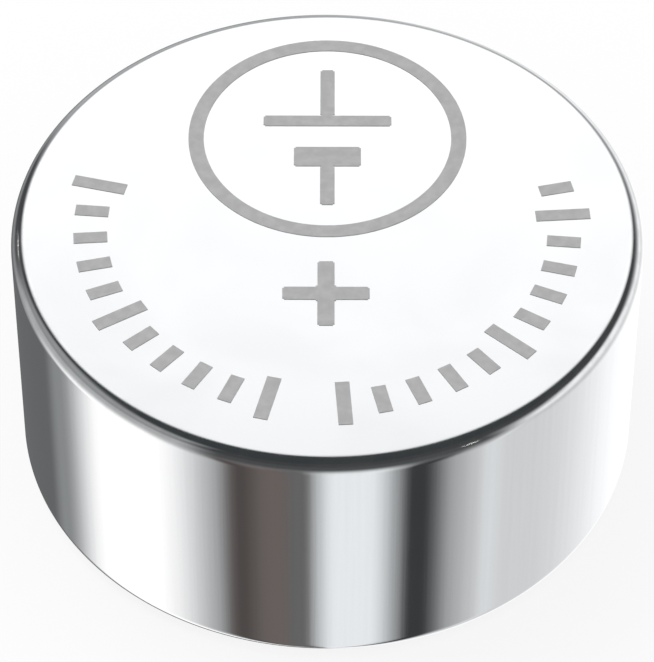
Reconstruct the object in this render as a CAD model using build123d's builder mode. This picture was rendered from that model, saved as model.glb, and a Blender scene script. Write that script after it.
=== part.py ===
"""Alkaline button cell, 11.6 mm across and 5.4 mm high, standing on its negative cap.

Everything in the cell is a body of revolution about Z. The origin is the centre of the cap's
contact face, and +Z points up to the flat positive face of the can. Lengths are millimetres.

The seal is what holds the cell together. The cap's skirt is folded back on itself and sits in
the channel of a moulded gasket. The can's open end is rolled in over both, so it presses the
gasket against the skirt's cut edge and against the neck of the cap.
"""

import os
from math import atan2, cos, radians, sin, tan

from build123d import *

os.makedirs("parts", exist_ok=True)

# Overall size
cell_diameter = 11.6
cell_height = 5.4

# Drawn can: the positive terminal, open downwards and rolled in at its mouth
can_sheet = 0.22
can_rim_radius = 0.24
crimp_radius = 0.26
crimp_lip_width = 0.65
crimp_slope = 6.0
cap_protrusion = 0.08

# Drawn cap: the negative terminal, with its skirt folded back outside itself
cap_sheet = 0.20
cap_corner_radius = 0.35
cap_step_height = 0.32
cap_step_radius = 0.12
neck_clearance = 0.35
skirt_fold_gap = 0.06
skirt_edge_height = 0.62

# Moulded gasket: a J-shaped ring whose foot takes the push of the stack
gasket_wall = 0.26
gasket_foot = 0.30
gasket_lip_wall = 0.24
gasket_lip_length = 0.60
gasket_lead_in = 0.08
gasket_bead_bulge = 0.06

# Pressed positive pellet, and the steel ring let into its rim behind the seal
pellet_height = 1.90
pellet_chamfer = 0.10
ring_sheet = 0.15
ring_bend_radius = 0.15
ring_flange_width = 0.85
ring_end_gap = 0.10

# Separator: a barrier film, and an absorbent pad whose rim is pinched under the gasket
film_thickness = 0.12
pad_thickness = 0.35
pad_pinched_thickness = 0.13
pad_bevel = 0.08
separator_clearance = 0.06
pad_clearance = 0.02

# Radii, and heights stacked down from the inside of the can's flat face
can_radius = cell_diameter / 2
can_inner_radius = can_radius - can_sheet
mouth_radius = can_radius - crimp_lip_width
can_floor = cell_height - can_sheet
pellet_face = can_floor - pellet_height
film_face = pellet_face - film_thickness
pad_face = film_face - pad_thickness
pad_rim_face = film_face - pad_pinched_thickness
skirt_top = pad_rim_face - gasket_foot

pellet_radius = can_inner_radius - ring_sheet
ring_bore_radius = can_inner_radius - ring_flange_width
separator_radius = can_inner_radius - separator_clearance
neck_radius = mouth_radius - neck_clearance
skirt_radius = can_inner_radius - gasket_wall
fold_radius = cap_sheet + skirt_fold_gap / 2
fold_centre = (skirt_radius - fold_radius, skirt_top - fold_radius)
step_radius = skirt_radius - cap_sheet - skirt_fold_gap
step_lean = atan2(step_radius - neck_radius, cap_step_height)
gasket_bore_radius = step_radius - cap_sheet - gasket_lip_wall
gasket_lip_end = skirt_top - gasket_lip_length


def can_surface(depth):
    """Corners of the can's section from its flat face to its mouth, this deep in the sheet."""
    slope = radians(crimp_slope)
    radius = can_radius - depth
    rolled_rise = (radius - mouth_radius) * tan(slope) + depth / cos(slope)
    return (
        (0, cell_height - depth),
        (radius, cell_height - depth),
        (radius, cap_protrusion + rolled_rise),
        (mouth_radius - depth * sin(slope), cap_protrusion + depth * cos(slope)),
    )


def can_bends(depth):
    """Bend radii of the can's rim and crimp, this deep in the sheet."""
    return (max(can_rim_radius - depth, 0), max(crimp_radius - depth, 0))


def cap_surface(depth):
    """Corners of the cap's section from its face to its fold, this deep in the sheet."""
    step_shift = depth * tan(step_lean / 2)
    return (
        (0, depth),
        (neck_radius - depth, depth),
        (neck_radius - depth, skirt_edge_height + step_shift),
        (step_radius - depth, skirt_edge_height + cap_step_height + step_shift),
        (step_radius - depth, fold_centre[1]),
    )


def cap_bends(depth):
    """Bend radii of the cap's face corner and of its step, this deep in the sheet."""
    return (cap_corner_radius - depth, cap_step_radius + depth, cap_step_radius + cap_sheet - depth)


# Positive can, one drawn cup of plated steel with its mouth rolled in
with BuildPart() as positive_can:
    with BuildSketch(Plane.XZ):
        with BuildLine():
            can_outside = FilletPolyline(*can_surface(0), radius=can_bends(0))
            can_inside = FilletPolyline(*can_surface(can_sheet), radius=can_bends(can_sheet))
            Line(can_outside @ 0, can_inside @ 0)
            Line(can_outside @ 1, can_inside @ 1)
        make_face()
    revolve(axis=Axis.Z)

# Negative cap, one drawn cup that steps out to its skirt, turns over and comes back down
with BuildPart() as negative_cap:
    with BuildSketch(Plane.XZ):
        with BuildLine():
            cap_outside = FilletPolyline(*cap_surface(0), radius=cap_bends(0))
            cap_inside = FilletPolyline(*cap_surface(cap_sheet), radius=cap_bends(cap_sheet))
            CenterArc(fold_centre, fold_radius - cap_sheet, 0, 180)
            CenterArc(fold_centre, fold_radius, 0, 180)
            Polyline(
                (skirt_radius - cap_sheet, fold_centre[1]),
                (skirt_radius - cap_sheet, skirt_edge_height),
                (skirt_radius, skirt_edge_height),
                (skirt_radius, fold_centre[1]),
            )
            Line(cap_outside @ 0, cap_inside @ 0)
        make_face()
    revolve(axis=Axis.Z)

# Gasket, drawn out to the middle of both sheets and then cut back to them by the can and the cap
with BuildPart() as sealing_gasket:
    with BuildSketch(Plane.XZ):
        with BuildLine():
            can_wall, can_corner, can_edge = can_surface(can_sheet / 2)[1:]
            in_can = FilletPolyline(
                (can_wall[0], pad_rim_face),
                can_corner,
                can_edge,
                radius=can_bends(can_sheet / 2)[1],
            )
            in_neck = neck_radius - cap_sheet / 2
            in_inner_layer = step_radius - cap_sheet / 2
            in_outer_layer = skirt_radius - cap_sheet / 2
            ThreePointArc(
                can_edge,
                ((can_edge[0] + in_neck) / 2, can_edge[1] - gasket_bead_bulge),
                (in_neck, can_edge[1]),
            )
            Polyline(
                (in_neck, can_edge[1]),
                (in_neck, skirt_edge_height + cap_sheet / 2),
                (in_outer_layer, skirt_edge_height + cap_sheet / 2),
                (in_outer_layer, skirt_top - cap_sheet / 2),
                (in_inner_layer, skirt_top - cap_sheet / 2),
                (in_inner_layer, gasket_lip_end),
                (gasket_bore_radius, gasket_lip_end),
                (gasket_bore_radius, pad_rim_face),
                in_can @ 0,
            )
        make_face()
    revolve(axis=Axis.Z)
    add(positive_can.part, mode=Mode.SUBTRACT)
    add(negative_cap.part, mode=Mode.SUBTRACT)
    level_circles = sealing_gasket.edges().filter_by(GeomType.CIRCLE).filter_by(Plane.XY)
    chamfer(level_circles.sort_by(SortBy.RADIUS)[:2], length=gasket_lead_in)

# Support ring, an L of steel strip whose flange takes the gasket's foot through the separator
with BuildPart() as support_ring:
    with BuildSketch(Plane.XZ):
        with BuildLine():
            FilletPolyline(
                (ring_bore_radius, pellet_face),
                (can_inner_radius, pellet_face),
                (can_inner_radius, can_floor - ring_end_gap),
                radius=ring_bend_radius,
            )
            offset(amount=ring_sheet, side=Side.LEFT)
        make_face()
    revolve(axis=Axis.Z)

# Positive pellet, pressed against the can's floor with the support ring sunk into its rim
with BuildPart() as cathode_pellet:
    with BuildSketch(Plane.XY.offset(pellet_face)):
        Circle(ring_bore_radius)
    extrude(amount=ring_sheet)
    with BuildSketch(Plane.XY.offset(pellet_face + ring_sheet)):
        Circle(pellet_radius)
    extrude(amount=pellet_height - ring_sheet)
    top_rim = cathode_pellet.edges().filter_by(GeomType.CIRCLE).sort_by(Axis.Z)[-1]
    chamfer(top_rim, length=pellet_chamfer)
    add(support_ring.part, mode=Mode.SUBTRACT)

# Barrier film, flat across the pellet and out over the flange
with BuildPart() as barrier_separator:
    with BuildSketch(Plane.XY.offset(film_face)):
        Circle(separator_radius)
    extrude(amount=film_thickness)

# Absorbent pad, full height inside the gasket's bore and pinched thin over the foot
with BuildPart() as absorbent_separator:
    with BuildSketch(Plane.XY.offset(pad_rim_face)):
        Circle(separator_radius)
    extrude(amount=pad_pinched_thickness)
    with BuildSketch(Plane.XY.offset(pad_face)):
        Circle(gasket_bore_radius - pad_clearance)
    extrude(amount=pad_rim_face - pad_face)
    pad_edge = absorbent_separator.edges().filter_by(GeomType.CIRCLE).sort_by(Axis.Z)[0]
    chamfer(pad_edge, length=pad_bevel)

# Zinc gel, poured into the cap: it takes the shape of whatever encloses it
with BuildPart() as zinc_anode:
    with BuildSketch(Plane.XZ):
        with BuildLine():
            gel_line = FilletPolyline(
                *cap_surface(cap_sheet / 2), radius=cap_bends(cap_sheet / 2)
            )
            Polyline(
                gel_line @ 1,
                (gasket_bore_radius + gasket_lip_wall / 2, (gel_line @ 1).Y),
                (gasket_bore_radius + gasket_lip_wall / 2, pad_face),
                (0, pad_face),
                gel_line @ 0,
            )
        make_face()
    revolve(axis=Axis.Z)
    add(negative_cap.part, mode=Mode.SUBTRACT)
    add(sealing_gasket.part, mode=Mode.SUBTRACT)

positive_can.part.label = "positive_can"
negative_cap.part.label = "negative_cap"
sealing_gasket.part.label = "sealing_gasket"
support_ring.part.label = "support_ring"
cathode_pellet.part.label = "cathode_pellet"
barrier_separator.part.label = "barrier_separator"
absorbent_separator.part.label = "absorbent_separator"
zinc_anode.part.label = "zinc_anode"

export_step(positive_can.part, "parts/positive_can.step")
export_step(negative_cap.part, "parts/negative_cap.step")
export_step(sealing_gasket.part, "parts/sealing_gasket.step")
export_step(support_ring.part, "parts/support_ring.step")
export_step(cathode_pellet.part, "parts/cathode_pellet.step")
export_step(barrier_separator.part, "parts/barrier_separator.step")
export_step(absorbent_separator.part, "parts/absorbent_separator.step")
export_step(zinc_anode.part, "parts/zinc_anode.step")
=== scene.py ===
"""An alkaline button cell standing on its cap: finished surfaces, printed marks, studio and camera.

Lengths are written in millimetres and become metres where a mesh is made. The cell's axis is Z,
its cap stands at height zero, and the camera looks along +Y and down.
"""

from collections import namedtuple
from math import atan2, cos, degrees, pi, radians, sin, sqrt, tan

import bmesh
import bpy
from mathutils import Matrix, Vector


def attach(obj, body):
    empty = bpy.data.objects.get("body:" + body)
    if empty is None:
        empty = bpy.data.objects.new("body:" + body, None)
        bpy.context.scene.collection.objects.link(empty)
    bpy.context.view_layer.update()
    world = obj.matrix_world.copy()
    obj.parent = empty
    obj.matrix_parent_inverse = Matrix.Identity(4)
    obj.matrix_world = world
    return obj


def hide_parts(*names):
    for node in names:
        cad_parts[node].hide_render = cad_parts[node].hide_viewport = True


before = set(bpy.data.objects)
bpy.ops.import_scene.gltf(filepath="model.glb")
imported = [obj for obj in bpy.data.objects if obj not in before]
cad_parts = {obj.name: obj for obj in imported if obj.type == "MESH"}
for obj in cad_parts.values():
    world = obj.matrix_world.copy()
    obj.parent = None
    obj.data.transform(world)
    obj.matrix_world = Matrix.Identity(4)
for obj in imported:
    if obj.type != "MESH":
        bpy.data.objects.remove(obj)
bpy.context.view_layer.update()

MM = 0.001

# Sizes of the shell and its seal, in millimetres
CELL_RADIUS = 5.8
CELL_HEIGHT = 5.4
CAN_SHEET = 0.22
RIM_BEND = 0.24
CRIMP_BEND = 0.26
LIP_WIDTH = 0.65
LIP_SLOPE = radians(6.0)
CAP_PROTRUSION = 0.08

CAP_SHEET = 0.20
CAP_CORNER_BEND = 0.35
CAP_STEP_HEIGHT = 0.32
CAP_STEP_BEND = 0.12
NECK_CLEARANCE = 0.35
FOLD_GAP = 0.06
SKIRT_EDGE = 0.62

GASKET_WALL = 0.26
GASKET_LIP_WALL = 0.24
GASKET_LIP_LENGTH = 0.60
GASKET_LEAD_IN = 0.08
GASKET_FOOT = 0.30
FOOT_TOP = 3.03
BEAD_BULGE = 0.06

# A cut edge of sheet or moulding is never quite sharp
EDGE_BREAK = 0.02

# A flat is held by a point this far past the end of a bend, unless that is beyond this share of the
# way to the next corner
HOLD = 0.03
HOLD_SHARE = 0.45

# How far inside the corner of the rim its worn band is centred
WEAR_DEPTH = 0.06

FACE_RADIUS = CELL_RADIUS - RIM_BEND
MOUTH_RADIUS = CELL_RADIUS - LIP_WIDTH
NECK_RADIUS = MOUTH_RADIUS - NECK_CLEARANCE
SKIRT_RADIUS = CELL_RADIUS - CAN_SHEET - GASKET_WALL
SKIRT_TOP = FOOT_TOP - GASKET_FOOT
STEP_RADIUS = SKIRT_RADIUS - CAP_SHEET - FOLD_GAP
STEP_LEAN = atan2(STEP_RADIUS - NECK_RADIUS, CAP_STEP_HEIGHT)
CAP_INNER_RADIUS = STEP_RADIUS - CAP_SHEET
GASKET_BORE = CAP_INNER_RADIUS - GASKET_LIP_WALL

# Printed marks on the positive face, in millimetres
MARK_THICKNESS = 0.010
MARK_SINK = 0.002
MARK_LOW = CELL_HEIGHT - MARK_SINK
MARK_HIGH = CELL_HEIGHT + MARK_THICKNESS
MARK_ROUNDING = 0.03
PLUS_CENTRE = (-0.02, -1.68)
PLUS_SPAN = 1.58
PLUS_BAR = 0.31

# The emblem is a ring round the circuit sign for one cell: a long thin plate, a short thick plate
# and their two leads. A plate is its length and its thickness.
EMBLEM_CENTRE = (0.0, 2.33)
EMBLEM_RADIUS = 2.60
EMBLEM_LINE = 0.285
LONG_PLATE = (2.40, 0.27)
SHORT_PLATE = (1.25, 0.50)
PLATE_GAP = 0.56
LEAD_WIDTH = 0.27
LEAD_REACH = 1.78

# Each scale is an arc of ticks, given as their number and the angle of the first
SCALES = {"left_scale": (11, radians(166.0)), "right_scale": (12, radians(-86.0))}
SCALE_RADIUS = 4.34
SCALE_STEP = radians(9.0)
LONG_TICK = 1.00
SHORT_TICK = 0.62
TICK_WIDTH = 0.26

# How much rougher the can's flat face is than its side
SATIN = 0.15

# The plain light on what is no mirror, the share of white that the camera sees laid over the
# floor, and half the floor's width
WHITE = (1, 1, 1, 1)
PLAIN_LIGHT = 0.85
FLOOR_WHITE = 0.82
FLOOR_HALF = 150

# How far a warmth of one raises the red of a studio grey and lowers its blue
WARM_RED = 0.16
WARM_BLUE = 0.06

# The camera that was fitted to the photograph: its focal length and the picture's height in pixels,
# its place in millimetres, and its tilt from straight down and its roll in degrees
FOCAL_LENGTH = 4134.1
PICTURE_HEIGHT = 662
SENSOR_HEIGHT = 36.0
CAMERA_PLACE = (0, -52.615, 59.949)
CAMERA_TILT = 42.515
CAMERA_ROLL = 0.132


# Nodes

GEOMETRY = "NodeSocketGeometry"
MATERIAL = "NodeSocketMaterial"
INTEGER = "NodeSocketInt"
FLOAT = "NodeSocketFloat"
VECTOR = "NodeSocketVector"
COLOUR = "NodeSocketColor"

# Where a Mix node keeps its two colours among its inputs, and the mixed one among its outputs
MIX_FIRST = 6
MIX_SECOND = 7
MIX_RESULT = 2


def add_node(tree, kind, inputs=None, **settings):
    """Adds a node, with its settings, and with its sockets set or linked by name or number."""
    made = tree.nodes.new(kind)
    for key, value in settings.items():
        setattr(made, key, value)
    for key, value in (inputs or {}).items():
        if isinstance(value, bpy.types.NodeSocket):
            tree.links.new(value, made.inputs[key])
        else:
            made.inputs[key].default_value = value
    return made


def maths(tree, operation, first, second=0.0, clamp=False):
    """The output of a Math node."""
    return add_node(
        tree, "ShaderNodeMath", {0: first, 1: second}, operation=operation, use_clamp=clamp
    ).outputs[0]


def whole(tree, operation, first, second):
    """The output of an Integer Math node."""
    return add_node(
        tree, "FunctionNodeIntegerMath", {0: first, 1: second}, operation=operation
    ).outputs[0]


def from_axis(tree, position):
    """How far a position is from the axis, and its height."""
    parts = add_node(tree, "ShaderNodeSeparateXYZ", {0: position}).outputs
    flat = add_node(tree, "ShaderNodeCombineXYZ", {0: parts[0], 1: parts[1]}).outputs[0]
    radius = add_node(tree, "ShaderNodeVectorMath", {0: flat}, operation="LENGTH").outputs["Value"]
    return radius, parts[2]


def step_between(tree, value, low, high):
    """Rises smoothly from 0 to 1 as value goes from low to high."""
    return add_node(
        tree,
        "ShaderNodeMapRange",
        {"Value": value, "From Min": low, "From Max": high},
        interpolation_type="SMOOTHSTEP",
    ).outputs["Result"]


def new_group(name, kind, inputs, outputs):
    """A node group with its named sockets, and its input and output nodes."""
    tree = bpy.data.node_groups.new(name, kind)
    for label, socket_type, value in inputs:
        socket = tree.interface.new_socket(label, in_out="INPUT", socket_type=socket_type)
        if value is not None:
            socket.default_value = value
    for label, socket_type in outputs:
        tree.interface.new_socket(label, in_out="OUTPUT", socket_type=socket_type)
    return tree, tree.nodes.new("NodeGroupInput").outputs, tree.nodes.new("NodeGroupOutput")


# Shader node groups


def make_drawing_lines():
    """Fine lines that a drawing die leaves along the axis, as height and as tone."""
    tree, given, result = new_group(
        "drawing_lines",
        "ShaderNodeTree",
        [("Position", VECTOR, None), ("Lines per mm", FLOAT, 12.0), ("Length", FLOAT, 40.0)],
        [("Height", FLOAT), ("Tone", FLOAT)],
    )
    parts = add_node(tree, "ShaderNodeSeparateXYZ", {0: given["Position"]}).outputs
    stretched = add_node(
        tree,
        "ShaderNodeCombineXYZ",
        {0: parts[0], 1: parts[1], 2: maths(tree, "DIVIDE", parts[2], given["Length"])},
    ).outputs[0]
    lines = add_node(
        tree,
        "ShaderNodeTexNoise",
        {"Vector": stretched, "Scale": given["Lines per mm"], "Detail": 3.0, "Roughness": 0.6},
    ).outputs["Fac"]
    tree.links.new(lines, result.inputs["Height"])
    tree.links.new(step_between(tree, lines, 0.35, 0.7), result.inputs["Tone"])
    return tree


def make_turned_rings():
    """Faint rings about the axis, as rolling and coining leave on a face."""
    tree, given, result = new_group(
        "turned_rings",
        "ShaderNodeTree",
        [("Position", VECTOR, None), ("Rings per mm", FLOAT, 10.0), ("Waver", FLOAT, 0.04)],
        [("Height", FLOAT), ("Tone", FLOAT)],
    )
    radius, _ = from_axis(tree, given["Position"])
    waver = add_node(
        tree, "ShaderNodeTexNoise", {"Vector": given["Position"], "Scale": 0.8, "Detail": 1.0}
    ).outputs["Fac"]
    wandering = maths(tree, "ADD", radius, maths(tree, "MULTIPLY", waver, given["Waver"]))
    rings = add_node(
        tree,
        "ShaderNodeTexNoise",
        {"W": wandering, "Scale": given["Rings per mm"], "Detail": 2.0},
        noise_dimensions="1D",
    ).outputs["Fac"]
    tree.links.new(rings, result.inputs["Height"])
    tree.links.new(step_between(tree, rings, 0.3, 0.7), result.inputs["Tone"])
    return tree


def make_edge_wear():
    """A broken band of wear along a round edge at a given radius and height."""
    tree, given, result = new_group(
        "edge_wear",
        "ShaderNodeTree",
        [
            ("Position", VECTOR, None),
            ("Edge radius", FLOAT, CELL_RADIUS),
            ("Edge height", FLOAT, CELL_HEIGHT),
            ("Reach", FLOAT, 0.25),
            ("Patch size", FLOAT, 0.4),
        ],
        [("Mask", FLOAT)],
    )
    radius, height = from_axis(tree, given["Position"])
    across = maths(tree, "SUBTRACT", radius, given["Edge radius"])
    along = maths(tree, "SUBTRACT", height, given["Edge height"])
    offset = add_node(tree, "ShaderNodeCombineXYZ", {0: across, 1: along}).outputs[0]
    distance = add_node(
        tree, "ShaderNodeVectorMath", {0: offset}, operation="LENGTH"
    ).outputs["Value"]
    out = maths(tree, "DIVIDE", distance, given["Reach"])
    near = maths(tree, "SUBTRACT", 1.0, out, clamp=True)
    patches = add_node(
        tree,
        "ShaderNodeTexNoise",
        {
            "Vector": given["Position"],
            "Scale": maths(tree, "DIVIDE", 1.0, given["Patch size"]),
            "Detail": 4.0,
        },
    ).outputs["Fac"]
    broken = step_between(tree, patches, 0.42, 0.62)
    tree.links.new(maths(tree, "MULTIPLY", near, broken), result.inputs["Mask"])
    return tree


def make_handling():
    """Soft smudges, as a roughness, and scattered hairline scuffs, as a mask."""
    tree, given, result = new_group(
        "handling",
        "ShaderNodeTree",
        [
            ("Position", VECTOR, None),
            ("Clean", FLOAT, 0.08),
            ("Smudged", FLOAT, 0.16),
            ("Smudge size", FLOAT, 2.5),
        ],
        [("Roughness", FLOAT), ("Scuff", FLOAT)],
    )
    smudge = add_node(
        tree,
        "ShaderNodeTexNoise",
        {
            "Vector": given["Position"],
            "Scale": maths(tree, "DIVIDE", 1.0, given["Smudge size"]),
            "Detail": 3.0,
            "Distortion": 0.6,
        },
    ).outputs["Fac"]
    spread = add_node(
        tree,
        "ShaderNodeMapRange",
        {
            "Value": smudge,
            "From Min": 0.35,
            "From Max": 0.7,
            "To Min": given["Clean"],
            "To Max": given["Smudged"],
        },
        interpolation_type="SMOOTHSTEP",
    ).outputs["Result"]
    turned = add_node(
        tree,
        "ShaderNodeMapping",
        {"Vector": given["Position"], "Rotation": (0.3, 0.2, 0.7), "Scale": (9.0, 0.7, 0.7)},
    ).outputs[0]
    scuffs = add_node(
        tree, "ShaderNodeTexNoise", {"Vector": turned, "Scale": 2.2, "Detail": 2.0}
    ).outputs["Fac"]
    tree.links.new(spread, result.inputs["Roughness"])
    tree.links.new(step_between(tree, scuffs, 0.66, 0.74), result.inputs["Scuff"])
    return tree


def make_grains():
    """Packed powder: grains of one size with finer ones between them."""
    tree, given, result = new_group(
        "grains",
        "ShaderNodeTree",
        [("Position", VECTOR, None), ("Grain size", FLOAT, 0.12)],
        [("Height", FLOAT), ("Tone", FLOAT)],
    )
    scale = maths(tree, "DIVIDE", 1.0, given["Grain size"])
    coarse = add_node(tree, "ShaderNodeTexVoronoi", {"Vector": given["Position"], "Scale": scale})
    fine = add_node(
        tree,
        "ShaderNodeTexNoise",
        {"Vector": given["Position"], "Scale": maths(tree, "MULTIPLY", scale, 3.0), "Detail": 4.0},
    ).outputs["Fac"]
    dome = maths(tree, "SUBTRACT", 1.0, coarse.outputs["Distance"])
    height = maths(tree, "ADD", dome, maths(tree, "MULTIPLY", fine, 0.5))
    tone = add_node(tree, "ShaderNodeSeparateXYZ", {0: coarse.outputs["Color"]}).outputs[0]
    tree.links.new(height, result.inputs["Height"])
    tree.links.new(tone, result.inputs["Tone"])
    return tree


def make_fibres():
    """Felted fibres lying in three directions."""
    tree, given, result = new_group(
        "fibres",
        "ShaderNodeTree",
        [("Position", VECTOR, None), ("Fibre width", FLOAT, 0.03), ("Slenderness", FLOAT, 14.0)],
        [("Height", FLOAT), ("Tone", FLOAT)],
    )
    scale = maths(tree, "DIVIDE", 0.5, given["Fibre width"])
    height = None
    for turn in (0.2, 1.25, 2.3):
        laid = add_node(
            tree, "ShaderNodeMapping", {"Vector": given["Position"], "Rotation": (0.1, 0.15, turn)}
        ).outputs[0]
        parts = add_node(tree, "ShaderNodeSeparateXYZ", {0: laid}).outputs
        drawn_out = add_node(
            tree,
            "ShaderNodeCombineXYZ",
            {0: maths(tree, "DIVIDE", parts[0], given["Slenderness"]), 1: parts[1], 2: parts[2]},
        ).outputs[0]
        strand = add_node(
            tree, "ShaderNodeTexNoise", {"Vector": drawn_out, "Scale": scale, "Detail": 1.0}
        ).outputs["Fac"]
        height = strand if height is None else maths(tree, "MAXIMUM", height, strand)
    tree.links.new(height, result.inputs["Height"])
    tree.links.new(step_between(tree, height, 0.45, 0.8), result.inputs["Tone"])
    return tree


drawing_lines = make_drawing_lines()
turned_rings = make_turned_rings()
edge_wear = make_edge_wear()
handling = make_handling()
grains = make_grains()
fibres = make_fibres()


# Materials


def new_material(name):
    """A node material, its tree, its Principled shader, and Object coordinates in millimetres."""
    material = bpy.data.materials.new(name)
    material.use_nodes = True
    tree = material.node_tree
    place = add_node(tree, "ShaderNodeTexCoord").outputs["Object"]
    position = add_node(
        tree, "ShaderNodeVectorMath", {0: place, "Scale": 1 / MM}, operation="SCALE"
    ).outputs[0]
    return material, tree, tree.nodes["Principled BSDF"], position


def use(tree, group, inputs):
    """Places a shader node group and gives its outputs."""
    return add_node(tree, "ShaderNodeGroup", inputs, node_tree=group).outputs


def blend(tree, factor, first, second):
    """The output of a colour mix, whose colours are sockets or red, green and blue."""
    inputs = {0: factor}
    for place, colour in ((MIX_FIRST, first), (MIX_SECOND, second)):
        inputs[place] = colour if isinstance(colour, bpy.types.NodeSocket) else (*colour, 1)
    return add_node(tree, "ShaderNodeMix", inputs, data_type="RGBA").outputs[MIX_RESULT]


def emboss(tree, shader, height, depth):
    """Feeds a height, of that depth in millimetres, to the shader's normal."""
    bump = add_node(
        tree, "ShaderNodeBump", {"Height": height, "Distance": depth * MM, "Strength": 1.0}
    )
    tree.links.new(bump.outputs["Normal"], shader.inputs["Normal"])


def make_can_nickel():
    """Nickel plate over drawn steel, bright on the side and satin on the flat face."""
    material, tree, shader, position = new_material("can_nickel")
    lines = use(tree, drawing_lines, {"Position": position, "Lines per mm": 9.0, "Length": 60.0})
    rings = use(tree, turned_rings, {"Position": position, "Rings per mm": 5.0})
    hands = use(tree, handling, {"Position": position, "Clean": 0.060, "Smudged": 0.080})
    wear = use(
        tree,
        edge_wear,
        {
            "Position": position,
            "Edge radius": CELL_RADIUS - WEAR_DEPTH,
            "Edge height": CELL_HEIGHT - WEAR_DEPTH,
        },
    )
    radius, _ = from_axis(tree, position)
    # The drawing lines fade in round the bend of the rim, and the satin ends where the bend starts
    side = step_between(tree, radius, FACE_RADIUS, CELL_RADIUS - 0.02)
    rim = step_between(tree, radius, FACE_RADIUS - 0.06, FACE_RADIUS + 0.10)
    face = maths(tree, "SUBTRACT", 1.0, rim)
    drawn = maths(tree, "MULTIPLY", lines["Height"], side)
    plate = blend(
        tree,
        maths(tree, "MULTIPLY", lines["Tone"], side),
        (0.798, 0.798, 0.806),
        (0.780, 0.780, 0.788),
    )
    worn = blend(tree, maths(tree, "MULTIPLY", wear["Mask"], 0.5), plate, (0.70, 0.69, 0.68))
    bright = maths(tree, "ADD", hands["Roughness"], maths(tree, "MULTIPLY", wear["Mask"], 0.10))
    rough = maths(tree, "ADD", bright, maths(tree, "MULTIPLY", face, SATIN))
    tree.links.new(worn, shader.inputs["Base Color"])
    tree.links.new(rough, shader.inputs["Roughness"])
    shader.inputs["Metallic"].default_value = 1.0
    height = maths(tree, "ADD", drawn, maths(tree, "MULTIPLY", rings["Height"], 0.25))
    emboss(tree, shader, height, 0.0003)
    return material


def make_cap_nickel():
    """Satin nickel face of the clad sheet."""
    material, tree, shader, position = new_material("cap_nickel")
    rings = use(tree, turned_rings, {"Position": position, "Rings per mm": 14.0, "Waver": 0.1})
    hands = use(tree, handling, {"Position": position, "Clean": 0.22, "Smudged": 0.34})
    face = blend(tree, rings["Tone"], (0.72, 0.71, 0.69), (0.66, 0.65, 0.63))
    tree.links.new(face, shader.inputs["Base Color"])
    rough = maths(tree, "ADD", hands["Roughness"], maths(tree, "MULTIPLY", hands["Scuff"], 0.12))
    tree.links.new(rough, shader.inputs["Roughness"])
    shader.inputs["Metallic"].default_value = 1.0
    emboss(tree, shader, rings["Height"], 0.003)
    return material


def make_nylon():
    """Natural nylon, waxy and a little translucent."""
    material, tree, shader, position = new_material("nylon")
    cloud = add_node(
        tree, "ShaderNodeTexNoise", {"Vector": position, "Scale": 0.6, "Detail": 3.0}
    ).outputs["Fac"]
    colour = blend(tree, cloud, (0.80, 0.775, 0.69), (0.72, 0.685, 0.58))
    skin = use(tree, grains, {"Position": position, "Grain size": 0.05})
    tree.links.new(colour, shader.inputs["Base Color"])
    hands = use(tree, handling, {"Position": position, "Clean": 0.34, "Smudged": 0.48})
    tree.links.new(hands["Roughness"], shader.inputs["Roughness"])
    shader.inputs["Subsurface Weight"].default_value = 0.25
    shader.inputs["Subsurface Radius"].default_value = (0.0006, 0.0005, 0.0004)
    emboss(tree, shader, skin["Height"], 0.002)
    return material


def make_ring_steel():
    """Plain cold-rolled strip, pressed to shape."""
    material, tree, shader, position = new_material("ring_steel")
    lines = use(tree, drawing_lines, {"Position": position, "Lines per mm": 16.0, "Length": 12.0})
    hands = use(tree, handling, {"Position": position, "Clean": 0.26, "Smudged": 0.42})
    colour = blend(tree, lines["Tone"], (0.56, 0.56, 0.55), (0.46, 0.46, 0.455))
    tree.links.new(colour, shader.inputs["Base Color"])
    tree.links.new(hands["Roughness"], shader.inputs["Roughness"])
    shader.inputs["Metallic"].default_value = 1.0
    emboss(tree, shader, lines["Height"], 0.002)
    return material


def make_cathode_mix():
    """Black pressed powder with flecks of graphite."""
    material, tree, shader, position = new_material("cathode_mix")
    powder = use(tree, grains, {"Position": position, "Grain size": 0.06})
    fleck = step_between(tree, powder["Tone"], 0.86, 0.93)
    colour = blend(tree, powder["Tone"], (0.016, 0.016, 0.017), (0.032, 0.031, 0.031))
    tree.links.new(blend(tree, fleck, colour, (0.11, 0.11, 0.115)), shader.inputs["Base Color"])
    shine = maths(tree, "MULTIPLY", fleck, 0.35)
    tree.links.new(maths(tree, "SUBTRACT", 0.72, shine), shader.inputs["Roughness"])
    emboss(tree, shader, powder["Height"], 0.010)
    return material


def make_barrier_film():
    """Smooth cellulose film, straw-coloured, with drying ripples."""
    material, tree, shader, position = new_material("barrier_film")
    ripple = add_node(
        tree,
        "ShaderNodeTexNoise",
        {"Vector": position, "Scale": 0.9, "Detail": 2.0, "Distortion": 1.2},
    ).outputs["Fac"]
    colour = blend(tree, ripple, (0.80, 0.73, 0.52), (0.72, 0.63, 0.40))
    tree.links.new(colour, shader.inputs["Base Color"])
    tree.links.new(
        maths(tree, "ADD", 0.18, maths(tree, "MULTIPLY", ripple, 0.12)), shader.inputs["Roughness"]
    )
    emboss(tree, shader, ripple, 0.02)
    return material


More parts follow.
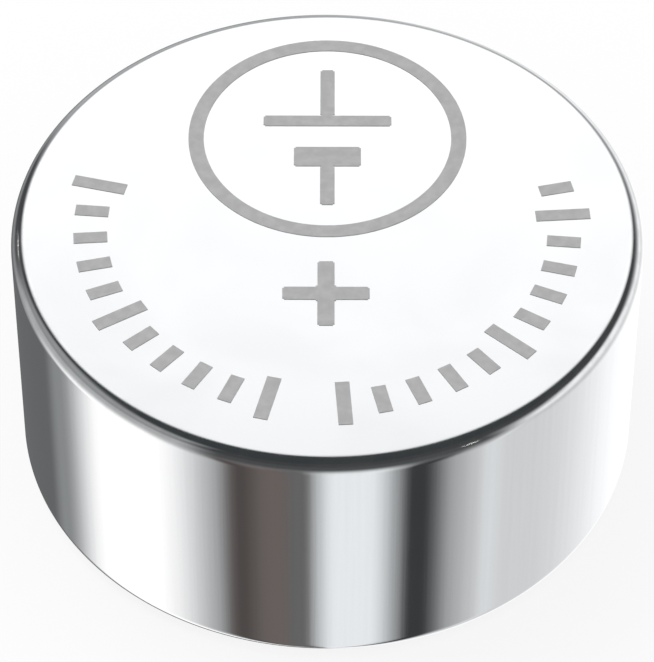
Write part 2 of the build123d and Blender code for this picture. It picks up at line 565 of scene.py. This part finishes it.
def make_absorbent_pad():
    """Nonwoven fibre, wetted and pressed."""
    material, tree, shader, position = new_material("absorbent_pad")
    felt = use(tree, fibres, {"Position": position, "Fibre width": 0.03, "Slenderness": 14.0})
    colour = blend(tree, felt["Tone"], (0.62, 0.59, 0.52), (0.84, 0.82, 0.76))
    tree.links.new(colour, shader.inputs["Base Color"])
    tree.links.new(
        maths(tree, "ADD", 0.7, maths(tree, "MULTIPLY", felt["Tone"], 0.2)),
        shader.inputs["Roughness"],
    )
    shader.inputs["Sheen Weight"].default_value = 0.2
    emboss(tree, shader, felt["Height"], 0.03)
    return material


def make_zinc_gel():
    """Zinc powder held in a clear gel, so that it is grainy and wet."""
    material, tree, shader, position = new_material("zinc_gel")
    powder = use(tree, grains, {"Position": position, "Grain size": 0.14})
    colour = blend(tree, powder["Tone"], (0.17, 0.18, 0.20), (0.34, 0.35, 0.37))
    tree.links.new(colour, shader.inputs["Base Color"])
    tree.links.new(
        maths(tree, "ADD", 0.35, maths(tree, "MULTIPLY", powder["Tone"], 0.25)),
        shader.inputs["Roughness"],
    )
    tree.links.new(maths(tree, "MULTIPLY", powder["Tone"], 0.8), shader.inputs["Metallic"])
    shader.inputs["Coat Weight"].default_value = 0.3
    emboss(tree, shader, powder["Height"], 0.04)
    return material


def make_mark_grey():
    """Flat grey printed mark, a little thin in places."""
    material, tree, shader, position = new_material("mark_grey")
    thin = add_node(
        tree, "ShaderNodeTexNoise", {"Vector": position, "Scale": 5.0, "Detail": 5.0}
    ).outputs["Fac"]
    faded = step_between(tree, thin, 0.3, 0.75)
    colour = blend(tree, faded, (0.40, 0.40, 0.40), (0.46, 0.46, 0.46))
    tree.links.new(colour, shader.inputs["Base Color"])
    tree.links.new(
        maths(tree, "ADD", 0.55, maths(tree, "MULTIPLY", thin, 0.15)), shader.inputs["Roughness"]
    )
    shader.inputs["Specular IOR Level"].default_value = 0.2
    emboss(tree, shader, thin, 0.002)
    return material


can_nickel = make_can_nickel()
cap_nickel = make_cap_nickel()
nylon = make_nylon()
ring_steel = make_ring_steel()
cathode_mix = make_cathode_mix()
barrier_film = make_barrier_film()
absorbent_pad = make_absorbent_pad()
zinc_gel = make_zinc_gel()
mark_grey = make_mark_grey()


# Sections


def can_corners(depth):
    """(radius, height, bend) of the can's corners, this deep in its sheet."""
    radius = CELL_RADIUS - depth
    rise = (radius - MOUTH_RADIUS) * tan(LIP_SLOPE) + depth / cos(LIP_SLOPE)
    return [
        (0, CELL_HEIGHT - depth, 0),
        (radius, CELL_HEIGHT - depth, max(RIM_BEND - depth, EDGE_BREAK)),
        (radius, CAP_PROTRUSION + rise, CRIMP_BEND - depth),
        (
            MOUTH_RADIUS - depth * sin(LIP_SLOPE),
            CAP_PROTRUSION + depth * cos(LIP_SLOPE),
            EDGE_BREAK,
        ),
    ]


def cap_corners(depth):
    """(radius, height, bend) of the cap's corners up to its skirt, this deep in its sheet."""
    shift = depth * tan(STEP_LEAN / 2)
    return [
        (0, depth, 0),
        (NECK_RADIUS - depth, depth, CAP_CORNER_BEND - depth),
        (NECK_RADIUS - depth, SKIRT_EDGE + shift, CAP_STEP_BEND + depth),
        (
            STEP_RADIUS - depth,
            SKIRT_EDGE + CAP_STEP_HEIGHT + shift,
            CAP_STEP_BEND + CAP_SHEET - depth,
        ),
    ]


def can_section():
    """The can's outline, from the middle of its outer face round to the middle of its floor."""
    return can_corners(0) + can_corners(CAN_SHEET)[::-1]


def cap_section():
    """The cap's outline, from the middle of its outer face round its fold to the inner face."""
    gap_bend = FOLD_GAP / 2
    fold_bend = gap_bend + CAP_SHEET
    return (
        cap_corners(0)
        + [
            (STEP_RADIUS, SKIRT_TOP - CAP_SHEET, gap_bend),
            (SKIRT_RADIUS - CAP_SHEET, SKIRT_TOP - CAP_SHEET, gap_bend),
            (SKIRT_RADIUS - CAP_SHEET, SKIRT_EDGE, EDGE_BREAK),
            (SKIRT_RADIUS, SKIRT_EDGE, EDGE_BREAK),
            (SKIRT_RADIUS, SKIRT_TOP, fold_bend),
            (CAP_INNER_RADIUS, SKIRT_TOP, fold_bend),
        ]
        + cap_corners(CAP_SHEET)[::-1]
    )


def gasket_section():
    """The gasket's closed outline, from the can's lip round to the bead beside the cap."""
    lip_middle = can_corners(CAN_SHEET / 2)[-1]
    crimp, lip = can_corners(CAN_SHEET)[2:]
    bead_height = lip_middle[1]
    corner_drop = CAP_CORNER_BEND - bead_height
    bead_start = NECK_RADIUS - CAP_CORNER_BEND + sqrt(CAP_CORNER_BEND**2 - corner_drop**2)
    plug = SKIRT_EDGE + CAP_SHEET / 2
    fold_bend = FOLD_GAP / 2 + CAP_SHEET
    steps = 8
    bead = []
    for step in range(1, steps):
        share = step / steps
        bead.append(
            (
                bead_start + share * (lip_middle[0] - bead_start),
                bead_height - BEAD_BULGE * 4 * share * (1 - share),
                0,
            )
        )
    return [
        (lip_middle[0], bead_height, 0),
        (lip[0], lip[1], 0),
        crimp,
        (CELL_RADIUS - CAN_SHEET, FOOT_TOP, 0),
        (GASKET_BORE + GASKET_LEAD_IN, FOOT_TOP, 0),
        (GASKET_BORE, FOOT_TOP - GASKET_LEAD_IN, 0),
        (GASKET_BORE, SKIRT_TOP - GASKET_LIP_LENGTH + GASKET_LEAD_IN, 0),
        (GASKET_BORE + GASKET_LEAD_IN, SKIRT_TOP - GASKET_LIP_LENGTH, 0),
        (CAP_INNER_RADIUS, SKIRT_TOP - GASKET_LIP_LENGTH, 0),
        (CAP_INNER_RADIUS, SKIRT_TOP, fold_bend),
        (SKIRT_RADIUS, SKIRT_TOP, fold_bend),
        (SKIRT_RADIUS, SKIRT_EDGE, 0),
        (SKIRT_RADIUS - CAP_SHEET, SKIRT_EDGE, 0),
        (SKIRT_RADIUS - CAP_SHEET, plug, 0),
        (NECK_RADIUS + (plug - SKIRT_EDGE) * tan(STEP_LEAN), plug, 0),
        (NECK_RADIUS, SKIRT_EDGE, CAP_STEP_BEND),
        (NECK_RADIUS, CAP_CORNER_BEND, 0),
        (bead_start, bead_height, 0),
    ] + bead


def held(corners, closed):
    """The corners with a point just clear of each bend, so that flats stay flat when shaded."""
    count = len(corners)
    points = []
    for index, (radius, height, bend) in enumerate(corners):
        is_end = not closed and index in (0, count - 1)
        if bend == 0 or is_end:
            points.append((radius, height, 0))
            continue
        before = corners[index - 1]
        after = corners[(index + 1) % count]
        back = (before[0] - radius, before[1] - height)
        ahead = (after[0] - radius, after[1] - height)
        back_length = sqrt(back[0] ** 2 + back[1] ** 2)
        ahead_length = sqrt(ahead[0] ** 2 + ahead[1] ** 2)
        cosine = (back[0] * ahead[0] + back[1] * ahead[1]) / (back_length * ahead_length)
        tangent = bend * sqrt((1 + cosine) / (1 - cosine))
        clear = tangent + HOLD
        if clear < HOLD_SHARE * back_length:
            share = clear / back_length
            points.append((radius + share * back[0], height + share * back[1], 0))
        points.append((radius, height, bend))
        if clear < HOLD_SHARE * ahead_length:
            share = clear / ahead_length
            points.append((radius + share * ahead[0], height + share * ahead[1], 0))
    return points


# Lathe


def make_lathe():
    """Geometry Nodes: bends the corners of a section and turns it about the axis."""
    tree, given, result = new_group(
        "turned_section",
        "GeometryNodeTree",
        [
            ("Section", GEOMETRY, None),
            ("Steps round", INTEGER, 256),
            ("Steps in a bend", INTEGER, 8),
            ("Merge distance", FLOAT, 0.0004 * MM),
            ("Crease angle", FLOAT, radians(35)),
            ("Axis place", VECTOR, (0, 0, 0)),
            ("Finish", MATERIAL, None),
        ],
        [("Turned", GEOMETRY)],
    )
    bend = add_node(
        tree, "GeometryNodeInputNamedAttribute", {"Name": "bend"}, data_type="FLOAT"
    ).outputs["Attribute"]
    line = add_node(tree, "GeometryNodeMeshToCurve", {"Mesh": given["Section"]}).outputs["Curve"]
    bent = add_node(
        tree,
        "GeometryNodeFilletCurve",
        {
            "Curve": line,
            "Count": given["Steps in a bend"],
            "Radius": bend,
            "Limit Radius": True,
        },
        mode="POLY",
    ).outputs["Curve"]
    points = add_node(
        tree, "GeometryNodeAttributeDomainSize", {"Geometry": bent}, component="CURVE"
    ).outputs["Point Count"]
    cyclic = add_node(tree, "GeometryNodeInputSplineCyclic").outputs[0]
    closed = add_node(
        tree,
        "GeometryNodeSampleIndex",
        {"Geometry": bent, "Value": cyclic},
        data_type="BOOLEAN",
        domain="CURVE",
    ).outputs["Value"]
    rows = whole(tree, "ADD", points, closed)
    sheet = add_node(
        tree,
        "GeometryNodeMeshGrid",
        {"Vertices X": whole(tree, "ADD", given["Steps round"], 1), "Vertices Y": rows},
    ).outputs["Mesh"]
    index = add_node(tree, "GeometryNodeInputIndex").outputs[0]
    along = whole(tree, "MODULO", whole(tree, "MODULO", index, rows), points)
    turn = whole(tree, "DIVIDE", index, rows)
    position = add_node(tree, "GeometryNodeInputPosition").outputs[0]
    on_line = add_node(
        tree,
        "GeometryNodeSampleIndex",
        {"Geometry": bent, "Value": position, "Index": along},
        data_type="FLOAT_VECTOR",
    ).outputs["Value"]
    angle = maths(tree, "MULTIPLY", maths(tree, "DIVIDE", turn, given["Steps round"]), 2 * pi)
    turned = add_node(
        tree,
        "ShaderNodeVectorRotate",
        {"Vector": on_line, "Angle": angle},
        rotation_type="Z_AXIS",
    ).outputs[0]
    placed = add_node(
        tree, "ShaderNodeVectorMath", {0: turned, 1: given["Axis place"]}, operation="ADD"
    ).outputs[0]
    swept = add_node(
        tree, "GeometryNodeSetPosition", {"Geometry": sheet, "Position": placed}
    ).outputs[0]
    joined = add_node(
        tree,
        "GeometryNodeMergeByDistance",
        {"Geometry": swept, "Distance": given["Merge distance"]},
    ).outputs[0]
    smooth = add_node(
        tree, "GeometryNodeSetShadeSmooth", {"Geometry": joined}, domain="FACE"
    ).outputs[0]
    fold = add_node(tree, "GeometryNodeInputMeshEdgeAngle").outputs["Unsigned Angle"]
    steep = maths(tree, "GREATER_THAN", fold, given["Crease angle"])
    creased = add_node(
        tree,
        "GeometryNodeSetShadeSmooth",
        {"Geometry": smooth, "Selection": steep, "Shade Smooth": False},
        domain="EDGE",
    ).outputs[0]
    real = add_node(tree, "GeometryNodeRealizeInstances", {"Geometry": creased}).outputs[0]
    finished = add_node(
        tree, "GeometryNodeSetMaterial", {"Geometry": real, "Material": given["Finish"]}
    ).outputs[0]
    tree.links.new(finished, result.inputs["Turned"])
    return tree


def grow(name, mesh, tree, inputs):
    """Runs a Geometry Nodes tree on a mesh and keeps what it makes as a plain mesh object."""
    piece = bpy.data.objects.new(name, mesh)
    bpy.context.scene.collection.objects.link(piece)
    modifier = piece.modifiers.new("shape", "NODES")
    modifier.node_group = tree
    for item in tree.interface.items_tree:
        if item.item_type == "SOCKET" and item.in_out == "INPUT" and item.name in inputs:
            modifier[item.identifier] = inputs[item.name]
    evaluated = piece.evaluated_get(bpy.context.evaluated_depsgraph_get())
    made = bpy.data.meshes.new_from_object(evaluated)
    made.name = name
    piece.modifiers.remove(modifier)
    piece.data = made
    return piece


def section_mesh(name, corners, closed):
    """The section as a line of edges in the XZ plane, with each corner's bend."""
    points = held(corners, closed)
    mesh = bpy.data.meshes.new(name + "_section")
    last = len(points) - 1
    edges = [(index, index + 1) for index in range(last)]
    if closed:
        edges.append((last, 0))
    mesh.from_pydata([(radius * MM, 0, height * MM) for radius, height, _ in points], edges, [])
    bends = mesh.attributes.new("bend", "FLOAT", "POINT")
    bends.data.foreach_set("value", [bend * MM for _, _, bend in points])
    return mesh


def face_outwards(piece):
    """Turns a closed mesh the right way out."""
    work = bmesh.new()
    work.from_mesh(piece.data)
    if work.calc_volume(signed=True) < 0:
        bmesh.ops.reverse_faces(work, faces=work.faces)
    work.to_mesh(piece.data)
    work.free()


lathe = make_lathe()


def turn_piece(name, corners, finish, closed=False, steps=256, bend_steps=8, place=(0, 0)):
    """A turned piece from its section."""
    piece = grow(
        name,
        section_mesh(name, corners, closed),
        lathe,
        {
            "Steps round": steps,
            "Steps in a bend": bend_steps,
            "Axis place": (place[0] * MM, place[1] * MM, 0),
            "Finish": finish,
        },
    )
    face_outwards(piece)
    return piece


# The shell and its seal

can = turn_piece("can_shell", can_section(), can_nickel, bend_steps=12)
cap = turn_piece("cap_shell", cap_section(), cap_nickel, steps=192)
gasket = turn_piece("gasket_ring", gasket_section(), nylon, closed=True, steps=192)

for piece, node, slot in (
    (can, "positive_can", "can_nickel"),
    (cap, "negative_cap", "cap_nickel"),
    (gasket, "sealing_gasket", "nylon"),
):
    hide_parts(node)
    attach(piece, "root")

for node, finish in (
    ("support_ring", ring_steel),
    ("cathode_pellet", cathode_mix),
    ("barrier_separator", barrier_film),
    ("absorbent_separator", absorbent_pad),
    ("zinc_anode", zinc_gel),
):
    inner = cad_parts[node]
    inner.data.materials.clear()
    inner.data.materials.append(finish)


# Printed marks


def make_scale():
    """Geometry Nodes: bars standing across an arc, every fifth one longer."""
    tree, given, result = new_group(
        "tick_scale",
        "GeometryNodeTree",
        [
            ("Ticks", INTEGER, 11),
            ("First angle", FLOAT, 0.0),
            ("Angle step", FLOAT, SCALE_STEP),
            ("Arc radius", FLOAT, SCALE_RADIUS * MM),
            ("Long tick", FLOAT, LONG_TICK * MM),
            ("Short tick", FLOAT, SHORT_TICK * MM),
            ("Tick width", FLOAT, TICK_WIDTH * MM),
            ("Thickness", FLOAT, (MARK_THICKNESS + MARK_SINK) * MM),
            ("Level", FLOAT, (MARK_LOW + MARK_HIGH) / 2 * MM),
            ("Finish", MATERIAL, None),
        ],
        [("Scale", GEOMETRY)],
    )
    points = add_node(tree, "GeometryNodePoints", {"Count": given["Ticks"]}).outputs[0]
    index = add_node(tree, "GeometryNodeInputIndex").outputs[0]
    angle = maths(
        tree, "ADD", given["First angle"], maths(tree, "MULTIPLY", index, given["Angle step"])
    )
    start = add_node(
        tree, "ShaderNodeCombineXYZ", {0: given["Arc radius"], 2: given["Level"]}
    ).outputs[0]
    on_arc = add_node(
        tree, "ShaderNodeVectorRotate", {"Vector": start, "Angle": angle}, rotation_type="Z_AXIS"
    ).outputs[0]
    placed = add_node(
        tree, "GeometryNodeSetPosition", {"Geometry": points, "Position": on_arc}
    ).outputs[0]
    fifth = whole(tree, "MODULO", index, 5)
    is_long = maths(tree, "LESS_THAN", fifth, 0.5)
    more = maths(tree, "SUBTRACT", given["Long tick"], given["Short tick"])
    length = maths(tree, "ADD", given["Short tick"], maths(tree, "MULTIPLY", is_long, more))
    size = add_node(
        tree, "ShaderNodeCombineXYZ", {0: length, 1: given["Tick width"], 2: given["Thickness"]}
    ).outputs[0]
    turn = add_node(tree, "ShaderNodeCombineXYZ", {2: angle}).outputs[0]
    bar = add_node(tree, "GeometryNodeMeshCube", {"Size": (1.0, 1.0, 1.0)}).outputs["Mesh"]
    rotation = add_node(tree, "FunctionNodeEulerToRotation", {0: turn}).outputs[0]
    bars = add_node(
        tree,
        "GeometryNodeInstanceOnPoints",
        {"Points": placed, "Instance": bar, "Rotation": rotation, "Scale": size},
    ).outputs[0]
    real = add_node(tree, "GeometryNodeRealizeInstances", {"Geometry": bars}).outputs[0]
    finished = add_node(
        tree, "GeometryNodeSetMaterial", {"Geometry": real, "Material": given["Finish"]}
    ).outputs[0]
    tree.links.new(finished, result.inputs["Scale"])
    return tree


def printed_shape(name, outlines):
    """Flat printed areas from their outlines, with slightly rounded corners."""
    work = bmesh.new()
    for outline in outlines:
        corners = [work.verts.new((x * MM, y * MM, MARK_LOW * MM)) for x, y in outline]
        face = work.faces.new(corners)
        lifted = bmesh.ops.extrude_face_region(work, geom=[face])["geom"]
        top = [item for item in lifted if isinstance(item, bmesh.types.BMVert)]
        bmesh.ops.translate(work, verts=top, vec=(0, 0, (MARK_SINK + MARK_THICKNESS) * MM))
    upright = [
        edge for edge in work.edges if abs(edge.verts[0].co.z - edge.verts[1].co.z) > 0.001 * MM
    ]
    bmesh.ops.bevel(work, geom=upright, offset=MARK_ROUNDING * MM, segments=4, affect="EDGES")
    bmesh.ops.recalc_face_normals(work, faces=work.faces)
    mesh = bpy.data.meshes.new(name)
    work.to_mesh(mesh)
    work.free()
    mesh.materials.append(mark_grey)
    piece = bpy.data.objects.new(name, mesh)
    bpy.context.scene.collection.objects.link(piece)
    return piece


def bar_outline(centre, width, height):
    """A rectangle about a centre."""
    x, y = centre
    return [
        (x - width / 2, y - height / 2),
        (x + width / 2, y - height / 2),
        (x + width / 2, y + height / 2),
        (x - width / 2, y + height / 2),
    ]


def plus_outline(centre, span, bar):
    """A plus sign about a centre."""
    x, y = centre
    long, short = span / 2, bar / 2
    corners = [
        (short, long), (-short, long), (-short, short), (-long, short),
        (-long, -short), (-short, -short), (-short, -long), (short, -long),
        (short, -short), (long, -short), (long, short), (short, short),
    ]
    return [(x + across, y + up) for across, up in corners]


plus_mark = printed_shape("plus_mark", [plus_outline(PLUS_CENTRE, PLUS_SPAN, PLUS_BAR)])

emblem_inner = EMBLEM_RADIUS - EMBLEM_LINE
emblem_ring = turn_piece(
    "emblem_ring",
    [
        (emblem_inner, MARK_LOW, 0),
        (EMBLEM_RADIUS, MARK_LOW, 0),
        (EMBLEM_RADIUS, MARK_HIGH, 0),
        (emblem_inner, MARK_HIGH, 0),
    ],
    mark_grey,
    closed=True,
    steps=128,
    place=EMBLEM_CENTRE,
)

sign_x, sign_y = EMBLEM_CENTRE
long_edge = sign_y + PLATE_GAP / 2 + LONG_PLATE[1]
short_edge = sign_y - PLATE_GAP / 2 - SHORT_PLATE[1]
lead_top = sign_y + LEAD_REACH
lead_bottom = sign_y - LEAD_REACH
cell_sign = printed_shape(
    "cell_sign",
    [
        bar_outline((sign_x, long_edge - LONG_PLATE[1] / 2), *LONG_PLATE),
        bar_outline((sign_x, short_edge + SHORT_PLATE[1] / 2), *SHORT_PLATE),
        bar_outline((sign_x, (long_edge + lead_top) / 2), LEAD_WIDTH, lead_top - long_edge),
        bar_outline((sign_x, (short_edge + lead_bottom) / 2), LEAD_WIDTH, short_edge - lead_bottom),
    ],
)

tick_scale = make_scale()
scales = []
for name, (ticks, first_angle) in SCALES.items():
    start_mesh = bpy.data.meshes.new(name + "_start")
    inputs = {"Ticks": ticks, "First angle": first_angle, "Finish": mark_grey}
    scales.append(grow(name, start_mesh, tick_scale, inputs))

for piece in (plus_mark, emblem_ring, cell_sign, *scales):
    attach(piece, "root")


# Studio

# The studio that the metal mirrors. Bearings are degrees round from the camera's side, to the right
# of it, and heights are degrees above the horizon. Each card is laid over the ones before it, and
# its four edges are soft: a fade is the width of an edge. A card's first four numbers are its
# centre, its half width and the fades of its left and right edges.
Card = namedtuple("Card", "centre half left_fade right_fade foot foot_fade top top_fade level warmth")

ALL_ROUND = (0, 360, 1, 1)
TO_GROUND = (-120, 1)
TO_ZENITH = (120, 1)
LOW_TOP = (-18, 50)

ROOM = Card(*ALL_ROUND, *TO_GROUND, *TO_ZENITH, level=0.52, warmth=-0.2)
CARDS = (
    # Cards round the cell, mirrored by its rim
    Card(8, 49, 16, 16, *TO_GROUND, *TO_ZENITH, level=0.085, warmth=-0.4),
    Card(117, 53, 24, 24, *TO_GROUND, 12, 26, level=1.16, warmth=-0.1),
    Card(96, 18, 16, 16, -10, 20, 32, 14, level=1.10, warmth=-0.1),
    Card(-137, 17, 12, 20, -6, 36, *TO_ZENITH, level=0.07, warmth=-0.3),
    # Cards on the table, mirrored by its side
    Card(*ALL_ROUND, *TO_GROUND, *LOW_TOP, level=0.30, warmth=-0.25),
    Card(-151, 27, 4, 10, *TO_GROUND, *LOW_TOP, level=0.15, warmth=-0.25),
    Card(-77.5, 26.5, 26, 36, *TO_GROUND, *LOW_TOP, level=1.29, warmth=0.0),
    Card(-22, 15.5, 10, 7, *TO_GROUND, *LOW_TOP, level=0.145, warmth=1.0),
    Card(-31.5, 4.5, 9, 12, *TO_GROUND, *LOW_TOP, level=0.08, warmth=0.8),
    Card(-10, 4, 5, 5, *TO_GROUND, *LOW_TOP, level=0.155, warmth=0.0),
    Card(10, 12.5, 13, 14, *TO_GROUND, *LOW_TOP, level=1.02, warmth=-0.22),
    Card(112, 60.5, 28, 20, *TO_GROUND, *LOW_TOP, level=0.77, warmth=-0.1),
    Card(64, 3.5, 7, 6, *TO_GROUND, *LOW_TOP, level=0.86, warmth=-0.2),
    Card(145, 33, 60, 8, *TO_GROUND, *LOW_TOP, level=1.18, warmth=-0.05),
    Card(35.5, 6.5, 6, 12, *TO_GROUND, *LOW_TOP, level=0.05, warmth=-0.3),
    # A dark ceiling, with a lit part to the left and the white card that the flat face mirrors
    Card(*ALL_ROUND, 26, 24, *TO_ZENITH, level=0.06, warmth=-0.3),
    Card(-88.5, 41.5, 22, 16, 24, 30, 66, 20, level=0.36, warmth=-0.2),
    Card(180, 20, 26, 26, 32, 20, *TO_ZENITH, level=1.52, warmth=-0.08),
    Card(*ALL_ROUND, 54, 18, *TO_ZENITH, level=0.05, warmth=-0.9),
)


def tinted(level, warmth):
    """A grey of this level, warmed towards red or cooled towards blue."""
    return (level * (1 + WARM_RED * warmth), level, level * (1 - WARM_BLUE * warmth), 1)


def soft_edge(tree, value, middle, fade):
    """Rises smoothly from 0 to 1 across an edge, as value passes its middle."""
    past = maths(tree, "DIVIDE", maths(tree, "SUBTRACT", value, middle), fade)
    return step_between(tree, past, -0.5, 0.5)


def make_studio_card():
    """A soft-edged card laid over what stands behind it."""
    tree, given, result = new_group(
        "studio_card",
        "ShaderNodeTree",
        [
            ("Behind", COLOUR, None),
            ("Card", COLOUR, None),
            ("Bearing", FLOAT, 0.0),
            ("Height", FLOAT, 0.0),
            ("Centre", FLOAT, 0.0),
            ("Half width", FLOAT, 10.0),
            ("Left fade", FLOAT, 1.0),
            ("Right fade", FLOAT, 1.0),
            ("Foot", FLOAT, -90.0),
            ("Foot fade", FLOAT, 1.0),
            ("Top", FLOAT, 90.0),
            ("Top fade", FLOAT, 1.0),
        ],
        [("Colour", COLOUR)],
    )
    apart = maths(tree, "SUBTRACT", given["Bearing"], given["Centre"])
    across = add_node(
        tree, "ShaderNodeMath", {0: apart, 1: 180.0, 2: -180.0}, operation="WRAP"
    ).outputs[0]
    turned_about = maths(tree, "MULTIPLY", across, -1.0)
    below = maths(tree, "MULTIPLY", given["Height"], -1.0)
    side_edge = maths(tree, "MULTIPLY", given["Half width"], -1.0)
    top_edge = maths(tree, "MULTIPLY", given["Top"], -1.0)
    left = soft_edge(tree, across, side_edge, given["Left fade"])
    right = soft_edge(tree, turned_about, side_edge, given["Right fade"])
    foot = soft_edge(tree, given["Height"], given["Foot"], given["Foot fade"])
    top = soft_edge(tree, below, top_edge, given["Top fade"])
    cover = maths(
        tree, "MULTIPLY", maths(tree, "MULTIPLY", left, right), maths(tree, "MULTIPLY", foot, top)
    )
    tree.links.new(blend(tree, cover, given["Behind"], given["Card"]), result.inputs["Colour"])
    return tree


def make_world():
    """White to the camera, plain soft light on the object, and cards for metal to mirror."""
    world = bpy.data.worlds.new("studio")
    world.use_nodes = True
    tree = world.node_tree
    tree.nodes.clear()
    way = add_node(tree, "ShaderNodeTexCoord").outputs["Generated"]
    parts = add_node(tree, "ShaderNodeSeparateXYZ", {0: way}).outputs
    around = maths(tree, "ARCTAN2", parts[0], maths(tree, "MULTIPLY", parts[1], -1.0))
    bearing = maths(tree, "MULTIPLY", around, degrees(1))
    height = maths(tree, "MULTIPLY", maths(tree, "ARCSINE", parts[2]), degrees(1))
    studio_card = make_studio_card()
    studio = tinted(ROOM.level, ROOM.warmth)
    for card in CARDS:
        studio = use(
            tree,
            studio_card,
            {
                "Behind": studio,
                "Card": tinted(card.level, card.warmth),
                "Bearing": bearing,
                "Height": height,
                "Centre": card.centre,
                "Half width": card.half,
                "Left fade": card.left_fade,
                "Right fade": card.right_fade,
                "Foot": card.foot,
                "Foot fade": card.foot_fade,
                "Top": card.top,
                "Top fade": card.top_fade,
            },
        )["Colour"]
    mirrored = add_node(tree, "ShaderNodeBackground", {"Color": studio, "Strength": 1.0})
    plain = add_node(tree, "ShaderNodeBackground", {"Color": WHITE, "Strength": PLAIN_LIGHT})
    backdrop = add_node(tree, "ShaderNodeBackground", {"Color": WHITE, "Strength": 1.0})
    rays = add_node(tree, "ShaderNodeLightPath").outputs
    seen_in_metal = maths(tree, "MAXIMUM", rays["Is Glossy Ray"], rays["Is Transmission Ray"])
    lit = add_node(
        tree,
        "ShaderNodeMixShader",
        {0: seen_in_metal, 1: plain.outputs[0], 2: mirrored.outputs[0]},
    )
    shown = add_node(
        tree,
        "ShaderNodeMixShader",
        {0: rays["Is Camera Ray"], 1: lit.outputs[0], 2: backdrop.outputs[0]},
    )
    output = add_node(tree, "ShaderNodeOutputWorld", {0: shown.outputs[0]})
    output.is_active_output = True
    bpy.context.scene.world = world


def make_floor():
    """A plain white floor at the cap's face, which takes the cell's shadow."""
    half = FLOOR_HALF * MM
    corners = [(-half, -half, 0), (half, -half, 0), (half, half, 0), (-half, half, 0)]
    mesh = bpy.data.meshes.new("floor")
    mesh.from_pydata(corners, [], [(0, 1, 2, 3)])
    material = bpy.data.materials.new("floor_white")
    material.use_nodes = True
    tree = material.node_tree
    shader = tree.nodes["Principled BSDF"]
    shader.inputs["Base Color"].default_value = (0.97, 0.97, 0.97, 1)
    shader.inputs["Roughness"].default_value = 0.9
    shader.inputs["Specular IOR Level"].default_value = 0.0
    white = add_node(tree, "ShaderNodeEmission", {"Color": WHITE, "Strength": 1.0})
    to_camera = add_node(tree, "ShaderNodeLightPath").outputs["Is Camera Ray"]
    share = maths(tree, "MULTIPLY", to_camera, FLOOR_WHITE)
    lifted = add_node(
        tree, "ShaderNodeMixShader", {0: share, 1: shader.outputs[0], 2: white.outputs[0]}
    )
    tree.links.new(lifted.outputs[0], tree.nodes["Material Output"].inputs["Surface"])
    mesh.materials.append(material)
    floor = bpy.data.objects.new("floor", mesh)
    bpy.context.scene.collection.objects.link(floor)
    floor.visible_glossy = False


def make_lamp(name, bearing, height, distance, size, power, mirrored):
    """A square lamp aimed at the flat face, from this bearing and height in degrees."""
    lamp = bpy.data.lights.new(name, "AREA")
    lamp.size = size * MM
    lamp.energy = power
    holder = bpy.data.objects.new(name, lamp)
    turn = radians(bearing)
    rise = radians(height)
    way = Vector((sin(turn) * cos(rise), -cos(turn) * cos(rise), sin(rise)))
    holder.location = Vector((0, 0, CELL_HEIGHT * MM)) + way * distance * MM
    holder.rotation_euler = (-way).to_track_quat("-Z", "Y").to_euler()
    holder.visible_glossy = mirrored
    bpy.context.scene.collection.objects.link(holder)


def make_camera():
    """The photograph's long lens, above the cell's front."""
    camera = bpy.data.cameras.new("camera")
    camera.sensor_fit = "VERTICAL"
    camera.sensor_height = SENSOR_HEIGHT
    camera.lens = SENSOR_HEIGHT * FOCAL_LENGTH / PICTURE_HEIGHT
    camera.clip_start = 0.005
    camera.clip_end = 5.0
    holder = bpy.data.objects.new("camera", camera)
    place = Matrix.Translation([length * MM for length in CAMERA_PLACE])
    tilt = Matrix.Rotation(radians(CAMERA_TILT), 4, "X")
    roll = Matrix.Rotation(radians(CAMERA_ROLL), 4, "Z")
    holder.matrix_world = place @ tilt @ roll
    bpy.context.scene.collection.objects.link(holder)
    bpy.context.scene.camera = holder


make_world()
make_floor()
make_lamp("key_lamp", bearing=-124, height=55, distance=190, size=120, power=0.09, mirrored=False)
make_lamp("left_sheen", bearing=-135, height=25, distance=400, size=4, power=0.009, mirrored=True)
make_lamp("right_sheen", bearing=45, height=15, distance=400, size=4, power=0.0045, mirrored=True)
make_camera()
bpy.context.scene.view_settings.view_transform = "Standard"
